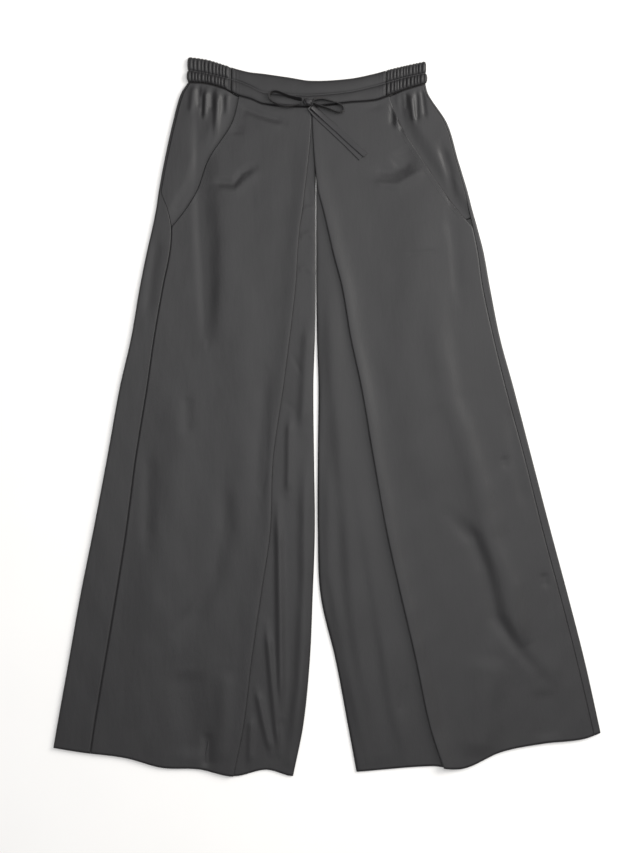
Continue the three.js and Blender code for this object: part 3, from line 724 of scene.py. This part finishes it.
# --- Stitching -----------------------------------------------------------------------------------
# Black polyester thread: one row between the band's casings and two beside each pocket mouth. Each
# stitch is a short rounded bar that sinks into the cloth at both ends.
stitch_pitch = 3.2
stitch_length = 2.5
stitch_radius = 0.28
mouth_insets = (2.0, 7.5)
mouth_stitch_top = 432
mouth_stitch_clear = 14
mouth_line_points = 70


def thread_finish():
    """Spun polyester thread: a little brighter and harder than the cloth, with a fine twist."""
    material, tree = new_material("black polyester thread")
    place = add_node(tree, "ShaderNodeTexCoord").outputs["Object"]
    fuzz = add_node(tree, "ShaderNodeTexNoise", {"Vector": place, "Scale": 2200.0, "Detail": 2.0})
    dent = add_node(tree, "ShaderNodeBump", {"Height": fuzz.outputs["Fac"], "Distance": 0.05 * MM})
    spun = add_node(tree, "ShaderNodeBsdfPrincipled", {
        "Base Color": linear("1e1d1f"), "Roughness": 0.42, "Normal": dent.outputs[0],
        "Sheen Weight": 0.2})
    add_node(tree, "ShaderNodeOutputMaterial", {"Surface": spun.outputs[0]})
    return material


thread = thread_finish()


def stitch_tree():
    """Geometry nodes that lay one bar at each even step along every line of edges."""
    tree = bpy.data.node_groups.new("stitches along a line", "GeometryNodeTree")
    face = tree.interface
    face.new_socket("Geometry", in_out="INPUT", socket_type="NodeSocketGeometry")
    for name in ("Pitch", "Length", "Radius"):
        face.new_socket(name, in_out="INPUT", socket_type="NodeSocketFloat")
    face.new_socket("Geometry", in_out="OUTPUT", socket_type="NodeSocketGeometry")
    given = add_node(tree, "NodeGroupInput").outputs
    line = add_node(tree, "GeometryNodeMeshToCurve", {"Mesh": given["Geometry"]})
    spots = add_node(tree, "GeometryNodeCurveToPoints", {
        "Curve": line.outputs[0], "Length": given["Pitch"]}, mode="LENGTH")
    bar = add_node(tree, "GeometryNodeMeshUVSphere", {"Segments": 6, "Rings": 5, "Radius": 1.0})
    half_length = add_node(tree, "ShaderNodeMath", {0: given["Length"], 1: 0.5}, operation="MULTIPLY")
    size = add_node(tree, "ShaderNodeCombineXYZ", {
        "X": given["Radius"], "Y": given["Radius"], "Z": half_length.outputs[0]})
    placed = add_node(tree, "GeometryNodeInstanceOnPoints", {
        "Points": spots.outputs["Points"], "Instance": bar.outputs["Mesh"],
        "Rotation": spots.outputs["Rotation"], "Scale": size.outputs[0]})
    real = add_node(tree, "GeometryNodeRealizeInstances", {"Geometry": placed.outputs[0]})
    coloured = add_node(tree, "GeometryNodeSetMaterial", {
        "Geometry": real.outputs[0], "Material": thread})
    add_node(tree, "NodeGroupOutput", {"Geometry": coloured.outputs[0]})
    return tree


def seam_lines():
    """Lines of points that the stitching follows, on the cloth."""
    lines = []
    for ends in ((elastic_end["left"] + 1, elastic_end["right"] - 1), (-190, elastic_end["left"] - 1),
                 (elastic_end["right"] + 1, 134)):
        x = np.arange(*ends, 2.0)
        lines.append(np.stack([x, waist["stitching"](x), np.full_like(x, front_height + 0.75)], axis=1))
    for side, sign in sides.items():
        for inset in mouth_insets:
            y = np.linspace(pocket_foot + mouth_stitch_clear, mouth_stitch_top, mouth_line_points)
            x = mouth[side](y) - sign * inset
            lines.append(np.stack([x, y, top_z(x, y) + 0.5], axis=1))
    return lines


def sew(name, lines):
    """Bakes the stitches along the lines into one plain mesh."""
    points = np.vstack(lines)
    starts = np.cumsum([0, *[len(line) for line in lines]])
    edges = [(k, k + 1) for a, b in zip(starts, starts[1:]) for k in range(a, b - 1)]
    mesh = bpy.data.meshes.new(name)
    mesh.from_pydata((points * MM).tolist(), edges, [])
    guide = bpy.data.objects.new(f"{name}_guide", mesh)
    bpy.context.scene.collection.objects.link(guide)
    modifier = guide.modifiers.new("stitches", "NODES")
    modifier.node_group = stitch_tree()
    sizes = {"Pitch": stitch_pitch, "Length": stitch_length, "Radius": stitch_radius}
    for item in modifier.node_group.interface.items_tree:
        if item.in_out == "INPUT" and item.name in sizes:
            modifier[item.identifier] = sizes[item.name] * MM
    sewn = bpy.data.meshes.new_from_object(guide.evaluated_get(bpy.context.evaluated_depsgraph_get()))
    bpy.data.objects.remove(guide)
    piece = bpy.data.objects.new(name, sewn)
    bpy.context.scene.collection.objects.link(piece)
    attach(piece, "root")
    return piece


sew("topstitching", seam_lines())
